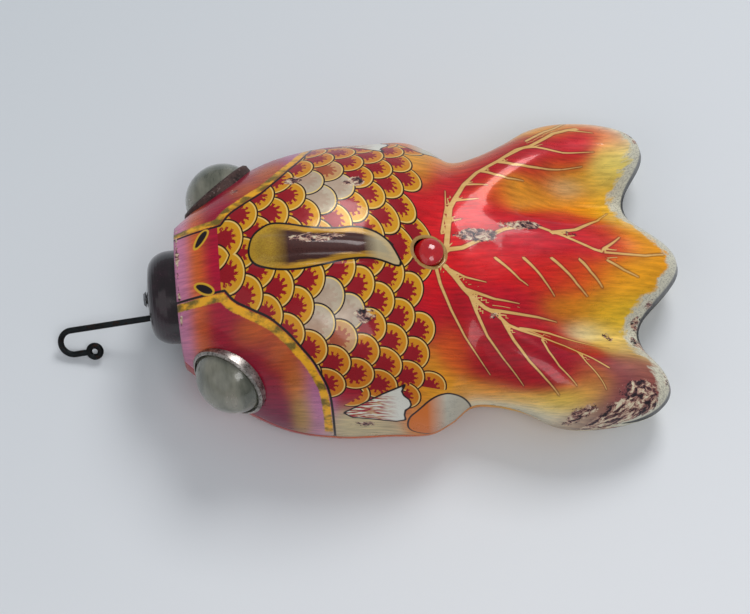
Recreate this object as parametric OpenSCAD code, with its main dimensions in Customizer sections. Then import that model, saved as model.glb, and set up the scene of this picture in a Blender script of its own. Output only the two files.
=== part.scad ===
// Goldfish party lantern: two stamped tin shells, lit eyes, a push button on
// the back, a moulded mouth cap with a swinging wire hook and a battery door
// under the belly. The nose points along -X, the tail along +X, and the belly
// rests on z = 0. Modules work from the nose rim at x = 0, and in_frame()
// moves them so that the origin is under the middle of the whole object.

/* [Shells] */
// Length of the shells from the nose rim to the tip of the tail
shell_len = 177.5; // [150:0.5:220]
// Width of the body at its widest
body_w = 108; // [90:1:140]
// Width at the waist, where the tail begins
waist_w = 92; // [80:1:120]
// Width across the tail lobes
tail_w = 116; // [90:1:150]
// Height of the back above the resting plane
body_h = 60; // [52:1:75]
// Height of the tail where it leaves the body
root_h = 42; // [34:1:50]
// Height of the tail at its tips
tip_h = 25; // [20:1:34]
// Height of the seam along the body
seam_h = 14; // [9:0.5:15]
// Radius of the round opening at the nose
nose_r = 24; // [20:0.5:28]
// Thickness of the tin
wall = 0.8; // [0.5:0.1:1.2]
// Height of the embossed fin on the back
dorsal_h = 2.4; // [0:0.1:5]
// Depth of the valleys between the tail lobes
valley_d = 9; // [2:0.5:14]

/* [Eyes] */
// Outer radius of an eye ring
bezel_r = 14.4; // [11:0.1:16]
// Height of an eye ring above its seat
bezel_h = 2.4; // [1.5:0.1:4]
// Height of the eye dome above its flange
dome_rise = 9.95; // [6:0.05:12]
// Thickness of the eye dome
dome_t = 1.2; // [0.8:0.1:2]
// Distance of an eye from the nose rim
eye_x = 14.6; // [13:0.1:22]
// Distance of an eye's outer plane from the middle
eye_y = 36.7; // [32:0.1:39]
// Height of an eye's centre
eye_z = 31.8; // [28:0.1:40]

/* [Mouth and hook] */
// Radius of the mouth cap
cap_r = 16.5; // [13:0.5:19]
// How far the mouth cap stands out of the nose rim
cap_out = 12; // [10:0.5:16]
// Diameter of the hook's wire
wire_d = 2.2; // [1.6:0.1:2.8]
// Radius of the hook's pin
pin_r = 1; // [0.8:0.1:1.3]
// Reach of the hook in front of the nose rim
hook_reach = 46; // [38:1:60]
// Radius of the hook's bend, to the middle of the wire
bend_r = 4.5; // [4:0.1:6]

/* [Button] */
// Radius of the push button
button_r = 5; // [3.5:0.1:7]
// How far the button travels
button_travel = 2; // [1:0.1:3]
// Distance of the button from the nose rim
button_x = 88; // [84:0.5:92]

/* [Battery] */
// Diameter of the battery cell
cell_d = 26.2; // [14:0.1:30]
// Length of the battery cell with its terminal
cell_len = 50; // [44:0.5:52]
// Distance of the battery's front end from the nose rim
cell_x = 42; // [40:0.5:46]
// Width of the battery door
door_w = 34; // [28:1:40]
// Thickness of the battery door
door_t = 0.8; // [0.6:0.1:1]

/* [Hidden] */
$fn = 64;

// Shell grid
long_steps = 52;
back_steps = 38;
belly_steps = 24;
tail_cap = 16;
body_end = 100;
nose_z = nose_r + 1;

// Clearances
running = 0.05;
gap = 0.3;

// Eye
eye_dir = [-0.588, 0.76, 0.277];
lens_r = bezel_r - 0.6;
lip_r = bezel_r - 1.1;
flange_t = 1;
seat_t = 1.3;
dome_base = lip_r - gap;
dome_sink = 0.2;
dome_r = (pow(dome_base, 2) + pow(dome_rise + dome_sink, 2)) / (2 * (dome_rise + dome_sink));
dome_drop = dome_r - dome_rise;

// Hook
hook_pin_x = -5;
hook_pin_z = nose_z - 10.5;
hook_y = -2.5;
eye_ring_r = pin_r + running + wire_d / 2;
shank_tilt = 11;
shank_roll = 38;
bend_lean = sin(shank_roll) * sin(shank_tilt);
shank_len = (hook_reach + hook_pin_x - wire_d / 2
    - bend_r * (norm([cos(shank_tilt), bend_lean]) - bend_lean)) / cos(shank_tilt);
loop_r = 2.1;
slot_w = wire_d + 2 * gap;

// Door and battery bay
door_x0 = cell_x - 9;
door_x1 = cell_x + cell_len + 9;
door_pin_r = 0.9;
door_pin_x = door_x0 + 2.6;
door_pin_z = 2.9;
door_gap = 1.1;
door_frame_t = 0.8;
door_z = 0.2;
cell_z = door_z + door_t + 1.8 + cell_d / 2;
bay_top = cell_z + cell_d / 2 + 1.2;
cradle_t = 0.8;
cradle_x0 = cell_x - 3.9;
cradle_x1 = cell_x + cell_len + 3.9;
foot_len = 9;
foot_w = 4.4;
foot_y = door_w / 2 + gap + 0.3 + foot_w / 2;
frame_rim = 6;
rivet_r = 1.5;

// Frame
nose_x = (hook_reach - shell_len) / 2;
function ease(t) = let (c = min(max(t, 0), 1)) c * c * (3 - 2 * c);

// Smooth curve through control points [x, value]
function slope(p, i) = let (a = max(i - 1, 0), b = min(i + 1, len(p) - 1))
    (p[b][1] - p[a][1]) / (p[b][0] - p[a][0]);
function segment(p, x, i = 0) = i >= len(p) - 2 || x < p[i + 1][0] ? i : segment(p, x, i + 1);
function curve(p, x) =
    let (c = min(max(x, p[0][0]), p[len(p) - 1][0]), i = segment(p, c),
         h = p[i + 1][0] - p[i][0], t = (c - p[i][0]) / h)
    (2 * pow(t, 3) - 3 * pow(t, 2) + 1) * p[i][1] + (pow(t, 3) - 2 * pow(t, 2) + t) * h * slope(p, i)
    + (3 * pow(t, 2) - 2 * pow(t, 3)) * p[i + 1][1] + (pow(t, 3) - pow(t, 2)) * h * slope(p, i + 1);

// Stations grow with the length of the shells behind the body only
tail_k = (shell_len - body_end) / 77.5;
function tail_x(x) = body_end + (x - body_end) * tail_k;
half_curve = [[0, nose_r], [8, body_w * 0.29], [20, body_w * 0.382], [35, body_w * 0.455],
    [52, body_w * 0.491], [70, body_w * 0.5], [84, body_w * 0.505], [92, (body_w + waist_w) / 4 + 1],
    [99, waist_w / 2], [tail_x(108), waist_w / 2 + 0.3], [tail_x(122), waist_w * 0.2 + tail_w * 0.27],
    [tail_x(138), tail_w * 0.475], [tail_x(152), tail_w * 0.497], [tail_x(165), tail_w * 0.5],
    [shell_len, tail_w * 0.49]];
top_curve = [[0, nose_z + nose_r], [8, body_h - 7], [20, body_h - 2.5], [35, body_h],
    [50, body_h], [65, body_h - 2], [78, body_h - 7], [89, root_h + 5], [100, root_h + 1],
    [tail_x(115), root_h - 1.5], [tail_x(132), (root_h + tip_h) / 2 + 3],
    [tail_x(150), tip_h + 6], [tail_x(165), tip_h + 2], [shell_len, tip_h]];
seam_curve = [[0, nose_z - 1], [12, (nose_z + seam_h) / 2], [30, seam_h + 1],
    [50, seam_h], [shell_len, seam_h]];
belly_curve = [[0, 1.5], [8, 0.5], [16, 0], [18, 0], [112, 0], [114, 0], [tail_x(130), 1.5], [shell_len, 3]];

// Tail outline: three rounded lobes with two notches
notch_v = 0.44;
outer_v = 0.80;
notch_d = 17;
function lobes(a) = a > outer_v
    ? -8 - 18 * (1 - sqrt(max(1 - pow((a - outer_v) / (1 - outer_v), 2), 0)))
    : a > notch_v
        ? -notch_d + (notch_d - 8) * (1 - cos(180 * (a - notch_v) / (outer_v - notch_v))) / 2
        : -notch_d * (1 - cos(180 * a / notch_v)) / 2;
function plan_x(x, v) = x + ease((x - body_end) / (shell_len - body_end)) * lobes(abs(v));
function closing(x, d) = let (t = min(max((shell_len - d - x) / (tail_cap - d), 0), 1))
    pow(1 - pow(1 - t, 2.6), 1 / 2.6);

// Fin on the back: a long raised leaf that leans to one side
function fin(x, y) = let (t = (x - 24) / 56)
    t < 0 || t > 1 ? 0 : dorsal_h * ease(t / 0.15) * ease((1 - t) / 0.25)
        * exp(-pow((y - 1 + 3 * t) / (5.5 - 2 * t), 4));

// Points of the shells: x along the fish, s from -1 to 1 across it, d is the inset
function back_point(x, s, d) =
    let (v = sin(90 * s), w = curve(half_curve, x) - d, z0 = curve(seam_curve, x),
         h = curve(top_curve, x) - z0 - d, p = 2.15 + 1.5 * ease((x - 95) / 40),
         c = pow(max(1 - pow(abs(v), p), 0), 1 / p), e = closing(x, d),
         valley = ease((x - body_end) / 50) * valley_d * exp(-pow((abs(v) - notch_v) / 0.15, 2)))
    [plan_x(x, v), v * w,
     z0 + (h - valley + fin(x, v * w)) * c * e];
function belly_point(x, s, d) =
    let (v = sin(90 * s), w = curve(half_curve, x) - d, z0 = curve(seam_curve, x),
         h = z0 - max(curve(belly_curve, x), 0) - d, a = max((abs(v) - 0.5) / 0.5, 0),
         c = pow(max(1 - pow(a, 2.3), 0), 1 / 2.3), e = closing(x, d))
    [plan_x(x, v), v * w, z0 - h * c * e];
function station(i, d) = let (n = long_steps - 8, cap0 = shell_len - tail_cap)
    i <= n ? cap0 * i / n : cap0 + (tail_cap - d) * sin(90 * (i - n) / 8);

// A closed skin between two grids that share their size
module skin(outer, inner) {
    n = len(outer);
    m = len(outer[0]);
    all = [for (g = [outer, inner]) for (row = g) for (p = row) p];
    function at(k, i, j) = k * n * m + i * m + j;
    quads = [for (i = [0:n - 2]) for (j = [0:m - 2]) each [
        [at(0, i, j), at(0, i + 1, j), at(0, i + 1, j + 1)],
        [at(0, i, j), at(0, i + 1, j + 1), at(0, i, j + 1)],
        [at(1, i, j), at(1, i + 1, j + 1), at(1, i + 1, j)],
        [at(1, i, j), at(1, i, j + 1), at(1, i + 1, j + 1)]]];
    sides = [for (i = [0:n - 2]) each [
        [at(0, i, 0), at(1, i, 0), at(1, i + 1, 0)], [at(0, i, 0), at(1, i + 1, 0), at(0, i + 1, 0)],
        [at(0, i, m - 1), at(1, i + 1, m - 1), at(1, i, m - 1)],
        [at(0, i, m - 1), at(0, i + 1, m - 1), at(1, i + 1, m - 1)]]];
    ends = [for (j = [0:m - 2]) each [
        [at(0, 0, j), at(1, 0, j + 1), at(1, 0, j)], [at(0, 0, j), at(0, 0, j + 1), at(1, 0, j + 1)],
        [at(0, n - 1, j), at(1, n - 1, j), at(1, n - 1, j + 1)],
        [at(0, n - 1, j), at(1, n - 1, j + 1), at(0, n - 1, j + 1)]]];
    polyhedron(all, concat(quads, sides, ends), convexity = 10);
}

module in_frame() translate([nose_x, 0, 0]) children();

module at_eye(side) {
    dir = [eye_dir[0], side * eye_dir[1], eye_dir[2]];
    flat = sqrt(pow(dir[0], 2) + pow(dir[1], 2));
    translate([eye_x, side * eye_y, eye_z])
        rotate([0, atan2(flat, dir[2]), atan2(dir[1], dir[0])]) children();
}

module rod(r, a, b) {
    v = b - a;
    translate(a) rotate([0, acos(v[2] / norm(v)), atan2(v[1], v[0])]) cylinder(r = r, h = norm(v));
}

module back_shell() color("#b5122a") in_frame() {
    difference() {
        skin([for (i = [0:long_steps]) [for (j = [0:back_steps])
                back_point(station(i, 0), 1 - 2 * j / back_steps, 0)]],
             [for (i = [0:long_steps]) [for (j = [0:back_steps])
                back_point(station(i, wall), 1 - 2 * j / back_steps, wall)]]);
        for (side = [-1, 1]) at_eye(side) translate([0, 0, -12]) cylinder(r = bezel_r, h = 20);
        translate([button_x, 0, root_h - 8]) cylinder(r = button_r + gap, h = 30);
    }
}

// Tin cups in the shell that carry the eyes
module eye_seat(side) color("#8a8478") in_frame() at_eye(side) translate([0, 0, -bezel_h - 6]) difference() {
    cylinder(r = bezel_r - running, h = 6);
    translate([0, 0, -1]) cylinder(r = bezel_r - seat_t, h = 8);
}
module eye_seat_left() eye_seat(-1);
module eye_seat_right() eye_seat(1);

module belly_shell() color("#d9892a") in_frame() difference() {
    skin([for (i = [0:long_steps]) [for (j = [0:belly_steps])
            belly_point(station(i, 0), 2 * j / belly_steps - 1, 0)]],
         [for (i = [0:long_steps]) [for (j = [0:belly_steps])
            belly_point(station(i, wall), 2 * j / belly_steps - 1, wall)]]);
    door_hole();
    for (x = rivet_xs, side = [-1, 1]) translate([x, side * foot_y, -1]) cylinder(r = rivet_r, h = 6);
    for (side = [-1, 1]) at_eye(side) translate([0, 0, -12]) cylinder(r = bezel_r, h = 20);
}

module door_hole() translate([door_x0 - door_gap, -door_w / 2 - gap, -1])
    cube([door_x1 - door_x0 + door_gap + gap, door_w + 2 * gap, 4]);

// Rivets pin the feet of the cradle and the door frame to the belly
rivet_xs = [cradle_x0 + foot_len / 2, cradle_x1 - foot_len / 2];

// Tabs inside the seam, folded up from the belly shell
module seam_tabs() color("#a8a498") in_frame()
    for (x = [30, 62, 94, tail_x(124), tail_x(148)], side = [-1, 1]) {
        half = 3;
        z = curve(seam_curve, x);
        inset = wall + 0.9;
        outline = concat(
            [for (k = [-1:0.5:1]) [x + k * half, side * (curve(half_curve, x + k * half) - inset)]],
            [for (k = [1:-0.5:-1]) [x + k * half, side * (curve(half_curve, x + k * half) - inset - 0.6)]]);
        translate([0, 0, z - 1]) linear_extrude(4) polygon(outline);
    }

// Outline of the nose opening, inset by d, as seen along the fish
function nose_outline(x, d) = concat(
    [for (j = [0:48]) let (p = back_point(x, j / 24 - 1, d)) [p[1], p[2]]],
    [for (j = [1:47]) let (p = belly_point(x, 1 - j / 24, d)) [p[1], p[2]]]);

module nose_plate() color("#151318") in_frame() difference() {
    // The plate fits the shells at its front face and at its back face
    translate([2.2, 0, 0]) rotate([90, 0, -90]) linear_extrude(1) intersection_for(x = [1.2, 2.2])
        polygon([for (p = nose_outline(x, wall + 0.15)) [-p[0], p[1]]]);
    translate([0, 0, nose_z]) rotate([0, 90, 0]) cylinder(r = 2.5, h = 4);
}

cap_wall = 1.8;
module cap_solid(r, out) rotate([0, -90, 0]) rotate_extrude($fn = 96)
    polygon(concat([[0, 0], [r, 0], [r, out * 0.3]],
        [for (a = [10:10:80]) [r * 0.62 + r * 0.38 * cos(a), out * 0.3 + out * 0.6 * sin(a)]],
        [[r * 0.62, out * 0.9], [0, out]]));

module mouth_cap() color("#2a1020") in_frame() translate([1.2, 0, nose_z]) difference() {
    union() {
        difference() {
            cap_solid(cap_r, cap_out + 1.2);
            translate([0.01, 0, 0]) cap_solid(cap_r - cap_wall, cap_out + 1.2 - cap_wall);
        }
        // Post for the rivet
        rotate([0, -90, 0]) cylinder(r = 4.5, h = cap_out + 0.2);
        // Cheeks that hold the hook's pin
        for (side = [-1, 1]) intersection() {
            cap_solid(cap_r - 0.5, cap_out);
            translate([-cap_out, hook_y + side * (slot_w / 2 + 1.6) - 1.6, hook_pin_z - nose_z - 6])
                cube([cap_out, 3.2, 10.5]);
        }
    }
    rotate([0, -90, 0]) translate([0, 0, -1]) cylinder(r = 1.6, h = cap_out + 8);
    // Slot that the hook swings in
    translate([-cap_out - 6, hook_y - slot_w / 2, hook_pin_z - nose_z - 9]) cube([cap_out + 8, slot_w, 15]);
    translate([hook_pin_x - 1.2, hook_y - slot_w / 2 - 3.3, hook_pin_z - nose_z])
        rotate([-90, 0, 0]) cylinder(r = pin_r, h = slot_w + 6.6);
}

module cap_rivet() color("#8c8a84") in_frame() translate([0, 0, nose_z]) {
    translate([-cap_out - 0.9, 0, 0]) rotate([0, 90, 0]) cylinder(r1 = 2, r2 = 2.8, h = 0.8);
    translate([-cap_out - 0.1, 0, 0]) rotate([0, 90, 0]) cylinder(r = 1.6, h = cap_out + 3.3);
    translate([2.2, 0, 0]) rotate([0, 90, 0]) cylinder(r = 3.4, h = 1);
}

module hook_pin() color("#8c8a84") in_frame()
    translate([hook_pin_x, hook_y - slot_w / 2 - 3.2, hook_pin_z])
        rotate([-90, 0, 0]) cylinder(r = pin_r, h = slot_w + 6.4);

// The hook: an eye on the pin, a straight shank, a bend and a small closed loop
module hook_wire() color("#101818") in_frame() translate([hook_pin_x, hook_y, hook_pin_z]) {
    rotate([-90, 0, 0]) translate([0, 0, -wire_d / 2]) difference() {
        cylinder(r = eye_ring_r + wire_d / 2, h = wire_d);
        translate([0, 0, -1]) cylinder(r = pin_r + running, h = wire_d + 2);
    }
    // Everything past the eye lies in one plane, tilted to reach the floor
    rotate([0, -shank_tilt, 0]) rotate([shank_roll, 0, 0]) translate([-eye_ring_r, 0, 0]) {
        rotate([0, -90, 0]) cylinder(d = wire_d, h = shank_len - eye_ring_r);
        translate([-(shank_len - eye_ring_r), -bend_r, 0]) {
            rotate([0, 0, 90]) rotate_extrude(angle = 180, $fn = 96)
                translate([bend_r, 0]) circle(d = wire_d, $fn = 32);
            translate([0, -bend_r, 0]) {
                rotate([0, 90, 0]) cylinder(d = wire_d, h = 5);
                translate([5 + loop_r, 0, 0]) rotate_extrude($fn = 64)
                    translate([loop_r, 0]) circle(d = wire_d, $fn = 32);
            }
        }
    }
}

module eye_lens(side) color("#c9c8b4") in_frame() at_eye(side) {
    // The dome's flange sits on a step inside the ring
    translate([0, 0, -bezel_h]) difference() {
        cylinder(r = lens_r, h = flange_t);
        translate([0, 0, -1]) cylinder(r = dome_base - dome_t, h = flange_t + 2);
    }
    translate([0, 0, -dome_drop - bezel_h + flange_t]) difference() {
        sphere(r = dome_r, $fn = 96);
        sphere(r = dome_r - dome_t, $fn = 96);
        translate([-dome_r - 1, -dome_r - 1, -dome_r - 1])
            cube([2 * dome_r + 2, 2 * dome_r + 2, dome_r + 1 + dome_drop - flange_t / 2]);
    }
}
module eye_lens_left() eye_lens(-1);
module eye_lens_right() eye_lens(1);

module eye_bezel(side) color("#a29f98") in_frame() at_eye(side) translate([0, 0, -bezel_h])
    rotate_extrude($fn = 96) difference() {
        translate([lip_r, 0]) square([bezel_r - lip_r, bezel_h]);
        translate([lip_r - 1, -1]) square([lens_r + 0.1 - lip_r + 1, flange_t + 1.1]);
        translate([bezel_r, bezel_h]) rotate(45) square(0.9, center = true);
    }
module eye_bezel_left() eye_bezel(-1);
module eye_bezel_right() eye_bezel(1);

// Button, its spring and the switch under it
button_top = curve(top_curve, button_x) + 2.2;
flange_r = button_r + 1.6;
flange_z = min(curve(top_curve, button_x - flange_r), curve(top_curve, button_x + flange_r))
    - 1.4 * wall - 3 * gap;
stem_r = 2;
plate_t = 0.8;
board_t = 0.8;
leaf_t = 0.4;
board_z = bay_top + cradle_t;
plate_z = board_z + board_t + button_travel + 2.4;
stem_end = plate_z - 0.6;
leaf_z = stem_end - button_travel - 0.2 - leaf_t;
module push_button() color("#d01818") in_frame() translate([button_x, 0, 0]) {
    translate([0, 0, flange_z]) cylinder(r = button_r, h = button_top - 2 - flange_z);
    translate([0, 0, button_top - 2]) intersection() {
        cylinder(r = button_r, h = 2);
        translate([0, 0, 2 - dome_ball]) sphere(r = dome_ball, $fn = 96);
    }
    translate([0, 0, flange_z - 1]) cylinder(r = flange_r, h = 1);
    translate([0, 0, stem_end]) cylinder(r = stem_r, h = flange_z - stem_end);
}
dome_ball = (pow(button_r, 2) + pow(1.9, 2)) / (2 * 1.9);

spring_wire = 0.5;
spring_turns = 3;
spring_h = flange_z - 1 - plate_z - plate_t - 0.4;
spring_around = 8;
spring_steps = spring_turns * 20;
function spring_ring(k) = let (a = 360 * spring_turns * k / spring_steps) [for (q = [0:spring_around - 1])
    let (b = 360 * q / spring_around, r = 3.3 + spring_wire / 2 * cos(b))
    [r * cos(a), r * sin(a), (spring_h - spring_wire) * k / spring_steps + spring_wire / 2 * sin(b)]];
module button_spring() color("#9aa0a4") in_frame()
    translate([button_x, 0, plate_z + plate_t + 0.2 + spring_wire / 2])
        polyhedron([for (k = [0:spring_steps]) each spring_ring(k)], concat(
            [[for (q = [0:spring_around - 1]) q]],
            [for (k = [0:spring_steps - 1]) for (q = [0:spring_around - 1]) each
                let (a = k * spring_around, n = (q + 1) % spring_around)
                [[a + n, a + q, a + spring_around + q], [a + n, a + spring_around + q, a + spring_around + n]]],
            [[for (q = [spring_around - 1:-1:0]) spring_steps * spring_around + q]]));

module switch_plate() color("#b0aca0") in_frame() difference() {
    union() {
        translate([button_x - 8, -7, plate_z]) cube([12 + 2, 14, plate_t]);
        for (y = [-7, 7 - plate_t]) translate([button_x - 8, y, bay_top + cradle_t])
            cube([14, plate_t, plate_z - bay_top - cradle_t]);
    }
    translate([button_x, 0, plate_z - 1]) cylinder(r = stem_r + 0.08, h = 4);
}

// Fibre board on the cradle, with a block that carries the leaf
module switch_insulator() color("#5a3a22") in_frame() {
    translate([button_x - 7, -5, board_z]) cube([12, 10, board_t]);
    translate([button_x - 7, -5, board_z + board_t]) cube([3.5, 10, leaf_z - board_z - board_t]);
}

module switch_leaf() color("#c8a050") in_frame()
    translate([button_x - 7, -2.5, leaf_z]) cube([11, 5, leaf_t]);

module switch_contact() color("#c8a050") in_frame()
    translate([button_x - 2.5, -2, board_z + board_t]) cube([6.5, 4, leaf_t]);

// Tin strap that bridges the battery, with end walls and riveted feet
module battery_cradle() color("#b0aca0") in_frame() difference() {
    half = cell_d / 2 - 1;
    wide = foot_y + foot_w / 2;
    union() {
        translate([cradle_x0, -half, bay_top]) cube([cradle_x1 - cradle_x0, 2 * half, cradle_t]);
        for (x = [cradle_x0, cradle_x1 - cradle_t]) {
            translate([x, -half, foot_z]) cube([cradle_t, 2 * half, bay_top - foot_z]);
            translate([x, -wide, foot_z]) cube([cradle_t, 2 * wide, 6]);
        }
        for (x = [cradle_x0, cradle_x1 - foot_len], side = [-1, 1])
            translate([x, side * foot_y - foot_w / 2, foot_z]) cube([foot_len, foot_w, cradle_t]);
    }
    for (x = rivet_xs, side = [-1, 1]) translate([x, side * foot_y, 0]) cylinder(r = rivet_r, h = 12);
    // Room for the door's knuckles and its tongue as it swings
    translate([cradle_x0 - 1, -door_w / 2, foot_z - 1]) cube([cradle_t + 2, door_w, 2.6]);
    translate([cradle_x1 - cradle_t - 1, -door_w / 2, foot_z - 1]) cube([cradle_t + 2, door_w, 2.6]);
}
foot_z = wall + door_frame_t;

module battery_cell() color("#3d4450") in_frame() translate([cell_x, 0, cell_z]) rotate([0, 90, 0]) {
    translate([0, 0, 1.5]) cylinder(d = cell_d, h = cell_len - 1.5);
    cylinder(r = 3.2, h = 1.5);
}

module front_insulator() color("#5a3a22") in_frame()
    translate([cradle_x0 + cradle_t, -9, cell_z - 9]) cube([0.8, 18, 18]);

module front_contact() color("#c8a050") in_frame() {
    translate([cradle_x0 + cradle_t + 0.8, -3, cell_z - 6]) cube([0.5, 6, bay_top - cell_z + 5.5]);
    translate([cradle_x0 + cradle_t + 1.3, 0, cell_z]) rotate([0, 90, 0])
        cylinder(r = 3, h = cell_x - cradle_x0 - cradle_t - 1.3);
}

module rear_insulator() color("#5a3a22") in_frame()
    translate([cradle_x1 - cradle_t - 0.8, -9, cell_z - 9]) cube([0.8, 18, 18]);

// Bowed leaf that presses on the end of the cell
module rear_contact() color("#c8a050") in_frame() {
    x1 = cradle_x1 - cradle_t - 0.8;
    bow = x1 - cell_x - cell_len;
    translate([x1, 4, cell_z]) rotate([90, 0, 0]) linear_extrude(8) polygon(concat(
        [for (k = [0:12]) [-bow * sin(180 * k / 12), 8 - 16 * k / 12]],
        [for (k = [12:-1:0]) [min(0, -bow * sin(180 * k / 12) + 0.45),
            8 - 16 * k / 12 + (k == 0 ? -0.6 : k == 12 ? 0.6 : 0)]]));
}

// Bulb, standing between the eyes on a bracket from the cradle's front wall
bulb_x = 24;
bulb_z = 34;
bulb_r = 5.5;
socket_r = 5.6;
module bulb_bracket() color("#b0aca0") in_frame() difference() {
    union() {
        translate([bulb_x - 8, -7, bulb_z - 9]) cube([cradle_x0 - bulb_x + 8, 14, 0.8]);
        translate([cradle_x0 - 0.8, -7, bulb_z - 14]) cube([0.8, 14, 5]);
    }
    translate([bulb_x, 0, bulb_z - 12]) cylinder(r = socket_r, h = 6);
}

module bulb_socket() color("#c8a050") in_frame() translate([bulb_x, 0, bulb_z]) difference() {
    union() {
        translate([0, 0, -12]) cylinder(r = socket_r, h = 12);
        translate([0, 0, -8.2]) cylinder(r = socket_r + 1.2, h = 1);
    }
    translate([0, 0, -11]) cylinder(r = 4.9, h = 12);
}

module bulb_base() color("#b8a878") in_frame() translate([bulb_x, 0, bulb_z]) {
    translate([0, 0, -9.5]) cylinder(r = 4.7, h = 10);
    translate([0, 0, -11]) cylinder(r = 1.8, h = 1.5);
    for (k = [0:3]) translate([0, 0, -8.6 + 2.2 * k]) rotate_extrude()
        translate([4.55, 0]) circle(r = 0.3, $fn = 16);
}

module bulb_glass() color("#e8e6d8") in_frame() translate([bulb_x, 0, bulb_z + 0.5]) difference() {
    union() {
        cylinder(r = 3.8, h = 5);
        translate([0, 0, 7]) sphere(r = bulb_r);
    }
    translate([0, 0, 0.6]) cylinder(r = 3.1, h = 5);
    translate([0, 0, 7]) sphere(r = bulb_r - 0.6);
}

// Insulated wire from the socket to the leaf over the cradle
lead_r = 0.7;
module bulb_lead() color("#7a1818") in_frame() {
    over = board_z + lead_r + 0.15;
    points = [[bulb_x + socket_r + lead_r + 0.1, 3, over - 0.8], [cradle_x0 - 1, 5.5, over + 0.4],
              [button_x - 12, 5, over], [button_x - 8.2, 3.5, leaf_z + leaf_t + lead_r + 0.25],
              [button_x - 5.5, 0.5, leaf_z + leaf_t + lead_r + 0.25]];
    for (k = [0:3]) rod(lead_r + 0.03 * k, points[k], points[k + 1]);
}

// Door of the battery bay, with knuckles round its pin and an upright tongue
module battery_door() color("#c88030") in_frame() difference() {
    union() {
        translate([door_x0, -door_w / 2, door_z]) cube([door_x1 - door_x0, door_w, door_t]);
        for (y = knuckle_ys) translate([door_pin_x, y, door_pin_z]) rotate([-90, 0, 0]) {
            cylinder(r = door_pin_r + 0.9, h = knuckle_w);
            translate([-door_pin_r - 0.9, 0, 0])
                cube([2 * door_pin_r + 1.8, door_pin_z - door_z - door_t / 2, knuckle_w]);
        }
        translate([door_x1 - 1.2, -4, door_z]) cube([0.8, 8, 4]);
    }
    translate([door_pin_x, -door_w / 2, door_pin_z])
        rotate([-90, 0, 0]) cylinder(r = door_pin_r + running, h = door_w);
    // Notches that clear the lugs
    for (y = lug_ys) translate([door_x0 - 1, y - 0.4, 0]) cube([door_pin_x - door_x0 + 4, lug_w + 0.8, 2]);
}
knuckle_w = 4;
knuckle_ys = [-10, 6];

// Frame round the opening, inside the belly, with lugs that hold the pin
module door_frame() color("#b0aca0") in_frame() difference() {
    union() {
        translate([door_x0 - door_gap - frame_rim, -foot_y - foot_w / 2, wall])
            cube([door_x1 - door_x0 + door_gap + gap + 2 * frame_rim, 2 * foot_y + foot_w, door_frame_t]);
        for (y = lug_ys) translate([door_pin_x, y, door_pin_z]) rotate([-90, 0, 0]) {
            cylinder(r = door_pin_r + 0.9, h = lug_w);
            translate([-6.5, -door_pin_r - 0.9, 0]) cube([6.5, 2 * door_pin_r + 1.8, lug_w]);
            translate([-7.5, -door_pin_r - 0.9, 0]) cube([2.4, door_pin_z - wall + door_pin_r + 0.9, lug_w]);
        }
    }
    translate([door_x0 - door_gap - 0.8, -door_w / 2 - gap, wall - 1])
        cube([door_x1 - door_x0 + door_gap + 0.8 + gap, door_w + 2 * gap, 1 + door_frame_t]);
    translate([door_pin_x, -door_w / 2, door_pin_z]) rotate([-90, 0, 0]) cylinder(r = door_pin_r, h = door_w);
    for (x = rivet_xs, side = [-1, 1]) translate([x, side * foot_y, 0]) cylinder(r = rivet_r, h = 6);
}
lug_w = 2;
lug_ys = [knuckle_ys[0] - lug_w - gap, knuckle_ys[1] + knuckle_w + gap];

module door_hinge_pin() color("#8c8a84") in_frame()
    translate([door_pin_x, lug_ys[0] - 0.3, door_pin_z]) rotate([-90, 0, 0])
        cylinder(r = door_pin_r, h = lug_ys[1] + lug_w + 0.3 - lug_ys[0] + 0.3);

module rivets() color("#8c8a84") in_frame()
    for (x = rivet_xs, side = [-1, 1]) translate([x, side * foot_y, 0]) {
        translate([0, 0, 0.1]) cylinder(r = rivet_r, h = foot_z + cradle_t - 0.1);
        translate([0, 0, foot_z + cradle_t]) cylinder(r1 = rivet_r + 1.2, r2 = rivet_r, h = 0.9);
    }

back_shell();
belly_shell();
seam_tabs();
nose_plate();
mouth_cap();
cap_rivet();
hook_pin();
hook_wire();
eye_seat_left();
eye_seat_right();
eye_lens_left();
eye_lens_right();
eye_bezel_left();
eye_bezel_right();
push_button();
button_spring();
switch_plate();
switch_leaf();
switch_contact();
switch_insulator();
battery_cradle();
battery_cell();
front_insulator();
front_contact();
rear_insulator();
rear_contact();
bulb_bracket();
bulb_socket();
bulb_base();
bulb_glass();
bulb_lead();
battery_door();
door_frame();
door_hinge_pin();
rivets();
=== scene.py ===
"""A tinplate goldfish lantern: lithographed shells, clouded celluloid eyes, a mouth cap and a wire hook."""
import math

import bmesh
import bpy
import numpy as np
from mathutils import Matrix, Vector


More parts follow.
